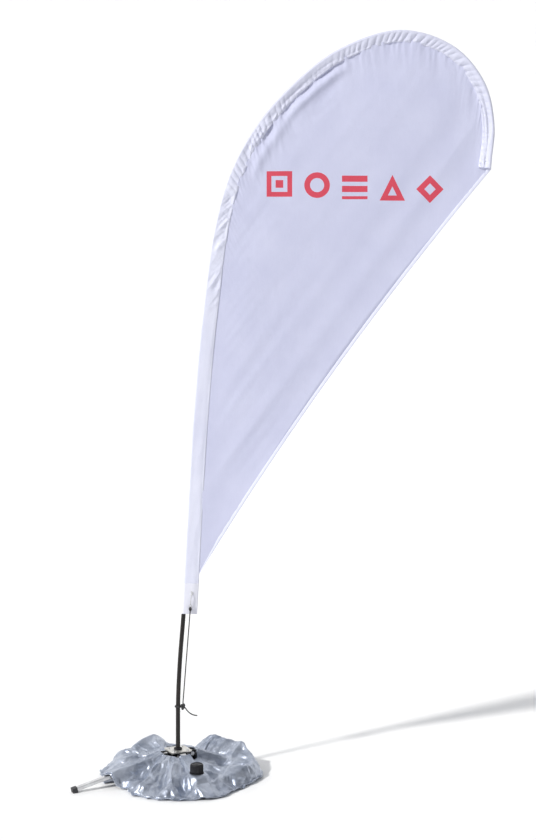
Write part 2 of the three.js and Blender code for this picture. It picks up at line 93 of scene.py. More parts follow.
def thicken(piece, thickness):
    """Gives a sheet its thickness, evenly on both sides."""
    solid = piece.modifiers.new("thickness", "SOLIDIFY")
    solid.thickness = thickness
    solid.offset = 0
    return piece


def tube(name, path, radius, material, sides=12):
    """A closed tube along a path."""
    path = [Vector(p) for p in path]
    points = []
    side = None
    for index, point in enumerate(path):
        ahead = path[min(index + 1, len(path) - 1)] - path[max(index - 1, 0)]
        ahead.normalize()
        if side is None:
            side = ahead.orthogonal().normalized()
        side = (side - ahead * side.dot(ahead)).normalized()
        up = ahead.cross(side)
        for turn in range(sides):
            angle = 2 * math.pi * turn / sides
            points.append(point + (side * math.cos(angle) + up * math.sin(angle)) * radius)
    faces = grid_faces(len(path), sides, wrap=True)
    faces.append(tuple(range(sides)))
    faces.append(tuple(range((len(path) - 1) * sides, len(path) * sides)))
    return mesh_object(name, points, faces, material)


def between(a, b, c, d, t):
    """A smooth curve from b to c, at t from 0 to 1, that heads for a before b and for d after c."""
    return 0.5 * (2 * b + (c - a) * t + (2 * a - 5 * b + 4 * c - d) * t ** 2
                  + (3 * b - 3 * c + d - a) * t ** 3)


def curve_through(points, steps):
    """A smooth curve through points, as a list of steps + 1 points."""
    points = [Vector(p) for p in points]
    ends = [2 * points[0] - points[1]] + points + [2 * points[-1] - points[-2]]
    spans = len(points) - 1
    found = []
    for step in range(steps + 1):
        place = spans * step / steps
        index = min(int(place), spans - 1)
        found.append(between(*ends[index:index + 4], place - index))
    return found


# ---- Materials ----


class Nodes:
    """A material's nodes, built up one at a time."""

    def __init__(self, name):
        self.material = bpy.data.materials.new(name)
        self.material.use_nodes = True
        self.tree = self.material.node_tree
        self.surface = self.tree.nodes["Principled BSDF"]

    def add(self, kind, inputs=None, **settings):
        node = self.tree.nodes.new(kind)
        for key, value in settings.items():
            setattr(node, key, value)
        for key, value in (inputs or {}).items():
            self.put(node.inputs[key], value)
        return node

    def put(self, socket, value):
        if isinstance(value, bpy.types.NodeSocket):
            self.tree.links.new(value, socket)
        elif socket.type == "RGBA" and len(value) == 3:
            socket.default_value = (*value, 1)
        else:
            socket.default_value = value

    def math(self, operation, a, b=0.0, clamp=False):
        node = self.add("ShaderNodeMath", {0: a, 1: b}, operation=operation, use_clamp=clamp)
        return node.outputs[0]

    def place(self, scale=(1, 1, 1), rotation=(0, 0, 0)):
        coordinates = self.add("ShaderNodeTexCoord")
        mapping = self.add("ShaderNodeMapping", {"Vector": coordinates.outputs["Object"],
                                                 "Scale": scale, "Rotation": rotation})
        return mapping.outputs[0]

    def noise(self, scale, detail=4.0, stretch=(1, 1, 1), roughness=0.55):
        node = self.add("ShaderNodeTexNoise", {"Vector": self.place(stretch), "Scale": scale,
                                               "Detail": detail, "Roughness": roughness})
        return node.outputs["Fac"]

    def away(self, x, y):
        """The distance of x and y from the middle."""
        return self.math("SQRT", self.math("ADD", self.math("MULTIPLY", x, x), self.math("MULTIPLY", y, y)))

    def cells(self, scale, rotation=(0, 0, 0)):
        """The distance from each spot to the nearest edge between cells."""
        inputs = {"Vector": self.place(rotation=rotation), "Scale": scale}
        return self.add("ShaderNodeTexVoronoi", inputs, feature="DISTANCE_TO_EDGE").outputs[0]

    def axes(self):
        """The object's own x, y and z at each spot."""
        return self.add("ShaderNodeSeparateXYZ", {"Vector": self.place()}).outputs

    def range(self, value, low, high, to_low=0, to_high=1):
        node = self.add("ShaderNodeMapRange", {"Value": value, "From Min": low, "From Max": high,
                                               "To Min": to_low, "To Max": to_high})
        return node.outputs[0]

    def mix(self, share, a, b):
        node = self.add("ShaderNodeMix", data_type="RGBA")
        self.put(node.inputs[0], share)
        self.put(node.inputs[6], a)
        self.put(node.inputs[7], b)
        return node.outputs[2]

    def bump(self, height, strength, distance, under=None):
        inputs = {"Height": height, "Strength": strength, "Distance": distance}
        if under is not None:
            inputs["Normal"] = under
        return self.add("ShaderNodeBump", inputs).outputs[0]

    def finish(self, **sockets):
        for key, value in sockets.items():
            self.put(self.surface.inputs[key.replace("_", " ").title()], value)
        return self.material


def scaled(color, share):
    return tuple(c * share for c in color)


def metal(name, color, dark, roughness, brush):
    """Plated or brushed metal, with fine streaks, faint blotches and scuffs."""
    n = Nodes(name)
    streaks = n.noise(900, 3, brush)
    blotches = n.noise(38, 5)
    scuffs = n.range(n.noise(160, 8, roughness=0.7), 0.58, 0.7)
    base = n.mix(n.range(blotches, 0.35, 0.7), color, dark)
    n.finish(base_color=n.mix(n.math("MULTIPLY", scuffs, 0.35), base, scaled(dark, 0.6)),
             metallic=0.95,
             roughness=n.math("ADD", n.range(streaks, 0.3, 0.7, roughness - 0.07, roughness + 0.08),
                              n.math("MULTIPLY", scuffs, 0.15)),
             normal=n.bump(streaks, 0.12, 0.0003))
    return n.material


def moulded(name, color, roughness, grain=1400, depth=0.0002):
    """Moulded nylon or rubber, with a fine spark-eroded grain and dusty, rubbed patches."""
    n = Nodes(name)
    fine = n.noise(grain, 2)
    dust = n.range(n.noise(55, 6, roughness=0.65), 0.5, 0.75)
    n.finish(base_color=n.mix(n.math("MULTIPLY", dust, 0.5), color, tuple(c + 0.035 for c in color)),
             roughness=n.range(fine, 0.3, 0.7, roughness - 0.08, roughness + 0.1),
             normal=n.bump(fine, 0.35, depth))
    n.surface.inputs["Specular IOR Level"].default_value = 0.28
    return n.material


def composite():
    """Pultruded glass-fibre pole: near black, with long fibres under a satin resin skin."""
    n = Nodes("composite")
    fibres = n.noise(260, 4, (1, 1, 0.012))
    wear = n.range(n.noise(30, 6, (1, 1, 0.25)), 0.52, 0.7)
    base = n.mix(n.range(fibres, 0.35, 0.7), (0.005, 0.0045, 0.005, 1), (0.02, 0.014, 0.012, 1))
    n.finish(base_color=n.mix(n.math("MULTIPLY", wear, 0.35), base, (0.045, 0.03, 0.024, 1)),
             roughness=n.range(fibres, 0.3, 0.7, 0.22, 0.36),
             normal=n.bump(fibres, 0.2, 0.0003))
    n.surface.inputs["Specular IOR Level"].default_value = 0.3
    n.finish(coat_weight=0.12, coat_roughness=0.16)
    return n.material


def weave(n, pitch):
    """The height of a plain knit or weave in the flag's plane."""
    waves = [n.add("ShaderNodeTexWave", {"Vector": n.place(), "Scale": 0.32 / pitch, "Distortion": 0.4},
                   wave_type="BANDS", bands_direction=axis).outputs["Fac"] for axis in "ZX"]
    return n.math("MULTIPLY", *waves)


def flag_cloth(name, color, shade, printed=False, top_shade_share=1.0):
    """White knitted polyester. Printed cloth has red shapes in a row. A top shade share below 1 paints shade
    on the cloth over the top of the bend.
    """
    n = Nodes(name)
    threads = weave(n, 0.0009)
    mottle = n.noise(7, 4)
    slubs = n.noise(420, 3, (1, 1, 0.1))
    base = n.mix(n.range(mottle, 0.3, 0.7), color, shade)
    base = n.mix(n.range(slubs, 0.45, 0.75, 0, 0.12), base, scaled(shade, 0.86))
    if top_shade_share < 1:
        # Painted shade: the cloth is darker over the top of the bend, where it gets less light.
        top_shade_mask = n.range(n.axes()["Z"], 2.1, 2.4)
        base = n.mix(top_shade_mask, base, scaled(shade, top_shade_share))
    if printed:
        base = n.mix(n.math("MULTIPLY", print_mask(n), n.range(threads, 0, 1, 0.93, 1.0)), base,
                     PRINT_RED)
    ripples = n.noise(16, 3, (1, 1, 0.5))
    n.finish(base_color=base,
             roughness=n.range(slubs, 0.3, 0.7, 0.62, 0.78),
             normal=n.bump(threads, 0.25, 0.0003, n.bump(ripples, 0.15, 0.004)))
    n.finish(sheen_weight=0.12, sheen_roughness=0.4)
    return n.material


# Five plain shapes in a row that slopes gently down to the right.
PRINT_START = (0.365, 2.134)
PRINT_STEP = (0.1355, -0.0045)
PRINT_HALF = 0.046
PRINT_RED = (0.62, 0.028, 0.06, 1)


def print_mask(n):
    """1 inside the shapes: a square frame round a dot, a ring, stacked bars, a triangle, a diamond."""
    def below(value, halves):
        return n.math("LESS_THAN", value, PRINT_HALF * halves)

    x, z = (n.axes()[axis] for axis in "XZ")
    total = None
    for index in range(5):
        u = n.math("SUBTRACT", x, PRINT_START[0] + index * PRINT_STEP[0])
        v = n.math("SUBTRACT", z, PRINT_START[1] + index * PRINT_STEP[1])
        across, up = n.math("ABSOLUTE", u), n.math("ABSOLUTE", v)
        square = n.math("MAXIMUM", across, up)
        inside = below(square, 1)
        if index == 0:
            mask = n.math("ADD", n.math("SUBTRACT", inside, below(square, 0.62)), below(square, 0.3))
        elif index == 1:
            away = n.away(u, v)
            mask = n.math("SUBTRACT", below(away, 1), below(away, 0.55))
        elif index == 2:
            bars = n.math("PINGPONG", n.math("ADD", v, PRINT_HALF), PRINT_HALF * 0.4)
            mask = n.math("MULTIPLY", inside, below(bars, 0.24))
        elif index == 3:
            slant = n.math("ADD", n.math("MULTIPLY", across, 2.0), v)
            outer = n.math("MULTIPLY", inside, below(slant, 1))
            inner = n.math("MULTIPLY", below(slant, 0.1), n.math("GREATER_THAN", v, -PRINT_HALF * 0.6))
            mask = n.math("SUBTRACT", outer, inner)
        else:
            away = n.math("ADD", across, up)
            mask = n.math("SUBTRACT", below(away, 1.08), below(away, 0.45))
        total = mask if total is None else n.math("ADD", total, mask, clamp=True)
    return total


def outward_creases(n):
    """Creases that run out from the bag's middle, closer together near it."""
    turn = n.add("ShaderNodeTexGradient", {"Vector": n.place()}, gradient_type="RADIAL").outputs["Fac"]
    x, y = (n.axes()[axis] for axis in "XY")
    drift = n.math("MULTIPLY", n.noise(6, 1), 0.05)
    spot = n.add("ShaderNodeCombineXYZ", {"X": n.math("MULTIPLY", n.math("ADD", turn, drift), 24.0),
                                          "Y": n.math("MULTIPLY", n.away(x, y), 8.0)})
    creases = n.add("ShaderNodeTexNoise", {"Vector": spot.outputs[0], "Scale": 1.0, "Detail": 2.0,
                                           "Roughness": 0.45}).outputs["Fac"]
    sharp = n.math("ABSOLUTE", n.math("SUBTRACT", creases, 0.5))
    return n.range(sharp, 0, 0.09)


def silver_cloth():
    """Silver-coated bag cloth: bright and creased, duller and bluer where the coating is rubbed, with painted
    shade along the crease lines.
    """
    n = Nodes("silver_cloth")
    rubbed = n.range(n.noise(14, 8, (1, 1, 2.5), roughness=0.66), 0.42, 0.66)
    coat = n.mix(rubbed, (0.50, 0.54, 0.625, 1), (0.30, 0.34, 0.425, 1))
    cells, small = n.cells(30), n.cells(95, (0.3, 0.5, 0.9))
    # Painted shade: the coat darkens along the cell edges, the same lines that the bump below presses in as
    # creases.
    coat = n.mix(n.range(cells, 0, 0.02, 0.2, 0), coat, (0.24, 0.27, 0.35, 1))
    threads = n.noise(1500, 2)
    folds = n.bump(n.range(small, 0, 0.35), 0.22, 0.0012, n.bump(n.noise(60, 4), 0.3, 0.002))
    folds = n.bump(n.range(cells, 0, 0.25), 0.25, 0.003, folds)
    folds = n.bump(outward_creases(n), 0.45, 0.004, folds)
    n.finish(base_color=coat, metallic=0.78,
             roughness=n.range(n.noise(90, 4), 0.3, 0.7, 0.33, 0.48),
             normal=n.bump(threads, 0.1, 0.0002, folds))
    return n.material


def braid(name, color, light):
    """Braided cord: crossing strands over its round, each painted lighter at its middle and darker at its
    edges as painted highlight and shade.
    """
    n = Nodes(name)
    strands = n.add("ShaderNodeTexVoronoi", {"Vector": n.place((1, 1, 0.6)), "Scale": 900}, feature="F1")
    # Painted highlight and shade: each strand's colour runs from the lighter colour at its middle to the dark
    # colour at its edges.
    n.finish(base_color=n.mix(n.range(strands.outputs[0], 0.1, 0.7, 1, 0), color, light),
             roughness=0.8, normal=n.bump(strands.outputs[0], 0.6, 0.0006))
    n.finish(sheen_weight=0.2)
    return n.material


STEEL = metal("plated_steel", (0.74, 0.75, 0.76), (0.6, 0.6, 0.61), 0.33, (1, 1, 0.08))
PLATE = metal("zinc_plate", (0.72, 0.71, 0.68), (0.55, 0.54, 0.51), 0.42, (0.1, 1, 1))
NYLON = moulded("black_nylon", (0.009, 0.009, 0.012), 0.45)
RUBBER = moulded("black_rubber", (0.013, 0.013, 0.013), 0.7, 900, 0.0003)
FOOT_RUBBER = moulded("grey_rubber", (0.05, 0.05, 0.054), 0.65, 900, 0.0003)
COMPOSITE = composite()
PANEL_CLOTH = flag_cloth("panel_cloth", (0.575, 0.59, 0.755), (0.535, 0.55, 0.72), printed=True)
# The sleeve's cloth has painted shade over the top of the bend.
SLEEVE_CLOTH = flag_cloth("sleeve_cloth", (0.80, 0.815, 0.95), (0.73, 0.745, 0.90), top_shade_share=0.86)
CUFF_CLOTH = flag_cloth("cuff_cloth", (0.85, 0.855, 0.94), (0.79, 0.795, 0.90))
THREAD = flag_cloth("thread", (0.9, 0.9, 0.95), (0.78, 0.79, 0.88))
SILVER = silver_cloth()
CORD = braid("elastic_cord", (0.016, 0.016, 0.018), (0.06, 0.058, 0.06))


# ---- Camera, light and floor ----


CAMERA_PLACE = (0.324, -4.2, 1.285)
SUN_PLACE, SUN_ANGLE, SUN_STRENGTH = (-5.2, -4.4, 5.0), 0.07, 2.7
SUN_COLOR = (1, 0.985, 0.96)
SKY_COLOR, SKY_BRIGHT_SIDE = (0.93, 0.955, 1.0, 1), (-0.55, -0.3, 0.78)
SKY_RANGE = {"From Min": -0.5, "From Max": 0.95, "To Min": 0.03, "To Max": 0.62}
FLOOR_PALE, FLOOR_DULL = (0.95, 0.95, 0.95, 1), (0.93, 0.93, 0.93, 1)
WALL_AT, WALL_TOP, WALL_BEND, FLOOR_SIDE = 7.0, 14.0, 3.0, 24.0


def add_camera():
    camera = bpy.data.objects.new("camera", bpy.data.cameras.new("camera"))
    camera.location = CAMERA_PLACE
    camera.rotation_euler = (math.pi / 2, 0, 0)
    camera.data.lens = 50
    camera.data.sensor_width = 36
    bpy.context.scene.collection.objects.link(camera)
    bpy.context.scene.camera = camera


def add_sun():
    sun = bpy.data.objects.new("sun", bpy.data.lights.new("sun", "SUN"))
    sun.data.angle = SUN_ANGLE
    sun.data.energy = SUN_STRENGTH
    sun.data.color = SUN_COLOR
    sun.location = SUN_PLACE
    sun.rotation_euler = (-Vector(SUN_PLACE)).to_track_quat("-Z", "Y").to_euler()
    bpy.context.scene.collection.objects.link(sun)


def add_backdrop():
    """A pale studio floor that curves up into a wall far behind the flag."""
    n = Nodes("studio_floor")
    n.finish(base_color=n.mix(n.noise(3, 3), FLOOR_PALE, FLOOR_DULL), roughness=0.9)
    profile = [(-FLOOR_SIDE, 0.0)]
    for step in range(25):
        angle = math.pi / 2 * step / 24
        profile.append((WALL_AT - WALL_BEND + WALL_BEND * math.sin(angle),
                        WALL_BEND - WALL_BEND * math.cos(angle)))
    profile.append((WALL_AT, WALL_TOP))
    points = [(x, y, z) for y, z in profile for x in (-FLOOR_SIDE, FLOOR_SIDE)]
    backdrop = mesh_object("studio_floor", points, grid_faces(len(profile), 2), n.material)


def add_stage():
    """The floor, the sun, and a sky that is brighter on the sun's side."""
    scene = bpy.context.scene
    scene.view_settings.view_transform = "Standard"
    world = scene.world or bpy.data.worlds.new("world")
    scene.world = world
    world.use_nodes = True
    tree = world.node_tree
    sky = tree.nodes["Background"]
    sky.inputs[0].default_value = SKY_COLOR
    place = tree.nodes.new("ShaderNodeTexCoord")
    toward = tree.nodes.new("ShaderNodeVectorMath")
    toward.operation = "DOT_PRODUCT"
    toward.inputs[1].default_value = SKY_BRIGHT_SIDE
    glow = tree.nodes.new("ShaderNodeMapRange")
    for key, value in SKY_RANGE.items():
        glow.inputs[key].default_value = value
    tree.links.new(place.outputs["Generated"], toward.inputs[0])
    tree.links.new(toward.outputs["Value"], glow.inputs["Value"])
    tree.links.new(glow.outputs[0], sky.inputs[1])
    add_backdrop()
    add_sun()


add_camera()
add_stage()


# ---- Tension cord ----

KNOT_TOP = Vector((44.6, -14.6, 597.5)) * MM
KNOT_LOW = Vector((18.5, -8, 269.6)) * MM
TAIL = [Vector(p) * MM for p in
        [(27.4, -8.4, 251), (33, -9, 242), (44, -9.5, 232), (57, -9, 225.5), (70, -7, 223)]]
CORD_DIAMETER = 4.2 * MM


def add_cords():
    """The taut line from the hook to the pole, and its loose end."""
    steps = 24
    line = [KNOT_TOP.lerp(KNOT_LOW, step / steps) for step in range(steps + 1)]
    cord = tube("tension_line", line, CORD_DIAMETER / 2, CORD)
    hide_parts("tension_cord")
    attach(cord, "flag_on_pole")

    tail_line = curve_through(TAIL, 24)
    tail = tube("tension_tail", tail_line, CORD_DIAMETER / 2, CORD)
    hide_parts("cord_tail")
    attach(tail, "flag_on_pole")


def knot_path(middle, size, steps=72):
    """An overhand knot's closed path."""
    path = []
    for step in range(steps + 1):
        t = 2 * math.pi * step / steps
        path.append(Vector((middle[0] + size[0] * (math.sin(t) + 2 * math.sin(2 * t)) / 3,
                            middle[1] + size[1] * -math.sin(3 * t),
                            middle[2] + size[2] * (math.cos(t) - 2 * math.cos(2 * t)) / 3)))
    return path


def joined(name, pieces):
    """Several meshes as one."""
    points, faces = [], []
    for piece in pieces:
        base = len(points)
        points += [v.co.copy() for v in piece.data.vertices]
        faces += [tuple(base + i for i in face.vertices) for face in piece.data.polygons]
        bpy.data.objects.remove(piece)
    return mesh_object(name, points, faces, CORD)


def add_knots():
    """The cord's knot at the hook, and its turns and knot round the pole."""
    bow = knot_path((45 * MM, -15 * MM, 605 * MM), (4.2 * MM, 3.2 * MM, 5.6 * MM))
    loop = [Vector((45.3 + 2.6 * math.cos(t), -15 + 2.6 * math.sin(t), 612.2 - 1.5 * math.cos(2 * t))) * MM
            for t in np.linspace(0, 2 * math.pi, 25)]
    knot = joined("tension_hook_knot", [tube("knot", bow, 1.9 * MM, CORD, 10),
                                        tube("loop", loop, 1.5 * MM, CORD, 8)])
    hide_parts("hook_knot")
    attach(knot, "flag_on_pole")

    turns = [Vector((10.2 * math.cos(t), 10.2 * math.sin(t), 250.9 + 6.6 * t / (4 * math.pi))) * MM
             for t in np.linspace(0, 4 * math.pi, 97)]
    middle = (18 * MM, -8 * MM, 256 * MM)
    lead = [KNOT_LOW + Vector((0, 0, 1 * MM)), KNOT_LOW - Vector((0, 0, 6 * MM)), Vector(middle)]
    pull = [(13.5 * MM, -6 * MM, 262 * MM), (17 * MM, -10 * MM, 256 * MM),
            (21.5 * MM, -8.6 * MM, 252 * MM), TAIL[0]]
    pieces = [tube("turns", turns, 2.05 * MM, CORD, 10),
              tube("lead", curve_through(lead, 10), 2.2 * MM, CORD, 12),
              tube("knot", knot_path(middle, (6.8 * MM, 4.6 * MM, 10.2 * MM), 96), 2.7 * MM, CORD, 10),
              tube("pull", curve_through(pull, 16), 2.1 * MM, CORD, 10)]
    knot = joined("tension_pole_knot", pieces)
    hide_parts("pole_knot")
    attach(knot, "flag_on_pole")


add_cords()
add_knots()


# ---- Pole line ----

POLE_POINTS = [
    (0, 107.3), (0, 200), (0.5, 280), (7, 420), (20, 587), (31, 790), (45, 1050), (61, 1300),
    (80, 1530), (103, 1740), (134, 1960), (185, 2150), (268, 2310), (396, 2465), (580, 2610),
    (800, 2680), (985, 2625), (1094, 2500), (1130, 2350), (1117, 2190),
]


class Line:
    """The bent pole's centre line, looked up by the length along it."""

    def __init__(self, points, divisions=60):
        points = [np.array(p, float) * MM for p in points]
        ends = [2 * points[0] - points[1]] + points + [2 * points[-1] - points[-2]]
        found = []
        for a, b, c, d in zip(ends, ends[1:], ends[2:], ends[3:]):
            before, span, after = (math.sqrt(np.linalg.norm(q - p)) for p, q in ((a, b), (b, c), (c, d)))
            start = ((b - a) / before - (c - a) / (before + span) + (c - b) / span) * span
            stop = ((c - b) / span - (d - b) / (span + after) + (d - c) / after) * span
            for step in range(divisions):
                t = step / divisions
                found.append(b + start * t + (3 * (c - b) - 2 * start - stop) * t ** 2
                             + (2 * (b - c) + start + stop) * t ** 3)
        found.append(points[-1])
        self.points = np.array(found)
        steps = np.linalg.norm(np.diff(self.points, axis=0), axis=1)
        self.lengths = np.concatenate([[0], np.cumsum(steps)])
        self.length = float(self.lengths[-1])

    def at(self, length):
        """The point, and the direction inward, at a length."""
        def point(where):
            return np.array([np.interp(where, self.lengths, self.points[:, axis]) for axis in (0, 1)])
        near = min(length, self.length - 0.004)
        ahead = point(near + 0.004) - point(max(near - 0.004, 0))
        ahead /= np.linalg.norm(ahead)
        middle = point(length)
        if length > self.length:
            middle = middle + (length - self.length) * ahead
        return middle, np.array([ahead[1], -ahead[0]])

    def at_height(self, height):
        """The length at which the pole first reaches a height."""
        return float(self.lengths[int(np.argmax(self.points[:, 1] >= height))])


LINE = Line(POLE_POINTS)
SLEEVE_START = LINE.at_height(0.590)
CUFF_TOP = LINE.at_height(0.698)
CORNER = LINE.at_height(0.720)
GATHERS_START = LINE.at_height(1.66)
GATHERS_FULL = LINE.at_height(2.25)
SLEEVE_JOIN = LINE.at_height(2.105)
SHOULDER = LINE.at_height(2.24)
GATHER_PITCH = 25 * MM


def reach(length):
    """How far the seam is inward of the pole: the sleeve narrows over the top."""
    wobble = 0.65 * smooth(length, GATHERS_START, GATHERS_START + 0.2) * soft(length * 38, 0.6, 2.9)
    return (43.5 - 13.5 * smooth(length, GATHERS_START, GATHERS_FULL + 0.3) + wobble) * MM


def outer_radius(length):
    """The sleeve's round outer edge, a little over the pole in it."""
    return (11.2 - 2.4 * smooth(length, GATHERS_START, GATHERS_FULL)) * MM


def gathering(length):
    """How strongly the seam is gathered: none low down, most over the top."""
    return smooth(length, GATHERS_START, GATHERS_FULL)


def puffs(place):
    """Rounded puffs with narrow creases between them: 0 in a crease, 1 on a puff."""
    phase = place / GATHER_PITCH + 0.55 * soft(place * 9, 0.3, 2.2)
    return abs(math.sin(math.pi * phase)) ** 0.7 * (0.8 + 0.35 * soft(place * 13, 1.3, 6.1))


def slack(length):
    """Where the cloth is loose on the shoulder, in short puffs."""
    start = smooth(length, SHOULDER - 0.05, SHOULDER + 0.05)
    return start * (1 - smooth(length, SHOULDER + 0.17, SHOULDER + 0.27))


def roll(length):
    """Where the cloth lies in one long roll beside the seam."""
    start = SHOULDER + 0.2
    return smooth(length, start, start + 0.09) * (1 - smooth(length, start + 0.24, start + 0.36))


def far_side(length):
    """Where the sleeve comes down the far side of the arc, drawn tight along the pole's tip."""
    return smooth(length, LINE.length - 0.42, LINE.length - 0.2)


def bell(value, middle, width):
    """1 at the middle, fading out over a width."""
    return math.exp(-((value - middle) / width) ** 2)


def pucker(length):
    """The seam's in and out, along the front-back direction."""
    strength = gathering(length)
    fine = ridge(length * 46, 0.4, 3.1)
    slow = soft(length * 11, 0.2, 8.7)
    loose = 3.5 * slack(length) * soft(length * 22, 0.7, 4.4)
    return (strength * (1.2 * fine + 1.4 * slow) + loose + 0.4 * soft(length * 6, 2.2, 1.3)) * MM


def flag_point(length, inward, front):
    """A point of the flag: a length along the pole, a distance inward of it and a distance in front."""
    middle, across = LINE.at(length)
    spot = middle + inward * across
    return Vector((spot[0], -front, spot[1]))


# ---- Sleeve, cuff and pocket ----

SIDE_STEPS = 20
TAIL_WIDTH = 5 * MM


def sleeve_bulge(length, share, side):
    """Folds across the sleeve, standing out from its face."""
    strength = gathering(length) * (1 - 0.8 * roll(length))
    full = puffs(length + 0.020 * share + 0.4 * side * GATHER_PITCH)
    across = (full - 0.55) * (6.6 + 0.6 * share) * smooth(share, -0.2, 0.3) * (1 - 0.45 * far_side(length))
    drawn = far_side(length) * (2.6 * ridge(share * 1.6, length * 5, 8.8 + side)
                                - 2.8 * bell(share, 0.45, 0.12))
    fine = ridge((length + 0.02 * share) * 60, share * 0.8, 9.1 + side) * 0.6 * share
    middle_zone = smooth(length, GATHERS_START - 0.05, GATHERS_START + 0.12) * (1 - smooth(
        length, SLEEVE_JOIN - 0.03, SLEEVE_JOIN + 0.05))
    slant = length - 0.055 * share
    diagonal = ridge(slant * 19, share * 0.5, 2.4 + side) * 3.0 + ridge(slant * 41, share, 7.4 + side) * 1.4
    diagonal *= math.sin(math.pi * (0.12 + 0.76 * share))
    loose = slack(length) * 4.4 * ridge(length * 23 + share, share * 1.5, 3.7 + side)
    loose *= smooth(share, 0.05, 0.5)
    long_fold = -3.6 * roll(length) * bell(share, 0.62, 0.2)
    long_fold += 2.0 * roll(length) * ridge(share * 2.5, length * 9, 6.3 + side) * share
    join = 1.5 * smooth(length + 0.012 * share, SLEEVE_JOIN - 0.002, SLEEVE_JOIN) * (
        1 - smooth(length, SLEEVE_JOIN + 0.02, SLEEVE_JOIN + 0.1)) * smooth(share, 0, 0.3)
    join -= 1.6 * bell(length + 0.012 * share, SLEEVE_JOIN - 0.012, 0.012) * smooth(share, 0.1, 0.7)
    calm = soft(length * 5, share * 2, 6.6 + side) * 0.9 + ridge(slant * 6, share, 4.6 + side) * 0.5
    return (strength * (across + fine) * (1 - 0.7 * middle_zone) + middle_zone * diagonal + loose
            + long_fold + drawn + join + calm) * MM


def seam_bead(length, side=1):
    """The seam stands up in a bead at each puff."""
    return gathering(length) * 2.2 * MM * puffs(length + 0.020 + 0.4 * side * GATHER_PITCH)


def sleeve_section(length, grow=0.0, folds=1.0):
    """Points round the sleeve, from the seam's front edge round the pole to its back edge."""
    radius, depth = outer_radius(length) + grow, reach(length)
    middle, across = LINE.at(length)
    shift = pucker(length)
    section = []
    for side in (1, -1):
        half = []
        for step in range(SIDE_STEPS + 1):
            share = step / SIDE_STEPS
            inward = depth * (1 - share) ** 1.1
            far = inward / depth
            thick = radius * (1 - far) ** 0.9 + (1.0 * MM + grow) * far
            thick += folds * sleeve_bulge(length, far, side) * (0.5 + 0.5 * far) * smooth(1.02 - far, 0, 0.12)
            thick = max(thick, 0.9 * MM + grow) + folds * seam_bead(length, side) * bell(far, 1, 0.07)
            spot = middle + inward * across
            half.append(Vector((spot[0], -side * thick - shift * far, spot[1])))
        tail = middle + (depth + TAIL_WIDTH) * across
        edge = 0.9 * MM + grow + 0.4 * folds * seam_bead(length, side)
        half.insert(0, Vector((tail[0], -side * edge - shift, tail[1])))
        if side == 1:
            section = half
            for step in range(1, 8):
                angle = math.pi * step / 8
                bulge = sleeve_bulge(length, 0, 1 if math.cos(angle) > 0 else -1)
                round_off = radius + 0.5 * folds * bulge * abs(math.cos(angle))
                spot = middle - round_off * math.sin(angle) * across
                section.append(Vector((spot[0], -round_off * math.cos(angle), spot[1])))
        else:
            section += half[::-1]
    return section


def sleeve_piece(name, lengths, material, grow=0.0, folds=1.0):
    """A stretch of sleeve through sections at the lengths given."""
    points = []
    for length in lengths:
        points += sleeve_section(length, grow, folds)
    columns = len(points) // len(lengths)
    return mesh_object(name, points, grid_faces(len(lengths), columns, wrap=True), material)


def add_sleeve():
    """The gathered sleeve, the plain cuff at its foot and the pocket over the pole's tip."""
    top = LINE.length - 24 * MM
    start = SLEEVE_START + 1 * MM
    plain, gathered = GATHERS_START - 0.06, 2.4 * MM
    lengths = list(np.linspace(start, plain, 130, endpoint=False))
    lengths += list(np.linspace(plain, top, int((top - plain) / gathered)))
    sleeve = thicken(sleeve_piece("sleeve", lengths, SLEEVE_CLOTH), 0.5 * MM)
    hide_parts("sleeve_lower", "sleeve_upper")
    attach(sleeve, "flag_on_pole")

    lengths = np.linspace(SLEEVE_START - 1 * MM, CUFF_TOP, 60)
    cuff = thicken(sleeve_piece("cuff", lengths, CUFF_CLOTH, 1.0 * MM), 0.9 * MM)
    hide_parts("sleeve_cuff")
    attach(cuff, "flag_on_pole")

    lengths = np.linspace(LINE.length - 38 * MM, LINE.length - 1 * MM, 40)
    pocket = sleeve_piece("pocket", lengths, SLEEVE_CLOTH, 0.9 * MM, 2.2)
    body = bmesh.new()
    body.from_mesh(pocket.data)
    edges = [edge for edge in body.edges if edge.is_boundary]
    low = sorted(edges, key=lambda edge: -(edge.verts[0].co.z + edge.verts[1].co.z))
    bmesh.ops.contextual_create(body, geom=low[len(low) // 2:])
    bmesh.ops.recalc_face_normals(body, faces=body.faces)
    body.to_mesh(pocket.data)
    body.free()
    pocket.data.shade_smooth()
    thicken(pocket, 0.7 * MM)
    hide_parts("tip_pocket")
    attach(pocket, "flag_on_pole")


# ---- Panel and hem ----

EDGE_HOLLOW = 34 * MM
SEAM_LAP = 3 * MM
TIP_LAP = 4 * MM


def free_edge():
    """The panel's free edge as points, from the sleeve low on the pole up to its far end."""
    middle, across = LINE.at(LINE.length)
    start = middle - 12 * MM * across
    low, low_across = LINE.at(CORNER)
    stop = low + reach(CORNER) * low_across
    chord = (stop - start) / np.linalg.norm(stop - start)
    bend = (start + stop) / 2 + 2 * EDGE_HOLLOW * np.array([chord[1], -chord[0]])
    shares = np.linspace(0, 1, 401)[:, None]
    points = (1 - shares) ** 2 * start + 2 * shares * (1 - shares) * bend + shares ** 2 * stop
    return points[::-1]


EDGE = free_edge()


def edge_at(share):
    """A point of the free edge, and the direction inward, at a share of its length."""
    place = share * (len(EDGE) - 1)
    index = min(int(place), len(EDGE) - 2)
    point = EDGE[index] + (EDGE[index + 1] - EDGE[index]) * (place - index)
    ahead = EDGE[index + 1] - EDGE[index]
    ahead = ahead / np.linalg.norm(ahead)
    return point, np.array([-ahead[1], ahead[0]])


def seam_at(share):
    """The length along the pole, and the seam's point there, at a share of the way up the panel."""
    length = CORNER + (LINE.length + TIP_LAP - CORNER) * share
    middle, across = LINE.at(length)
    return length, middle + (reach(length) - SEAM_LAP) * across


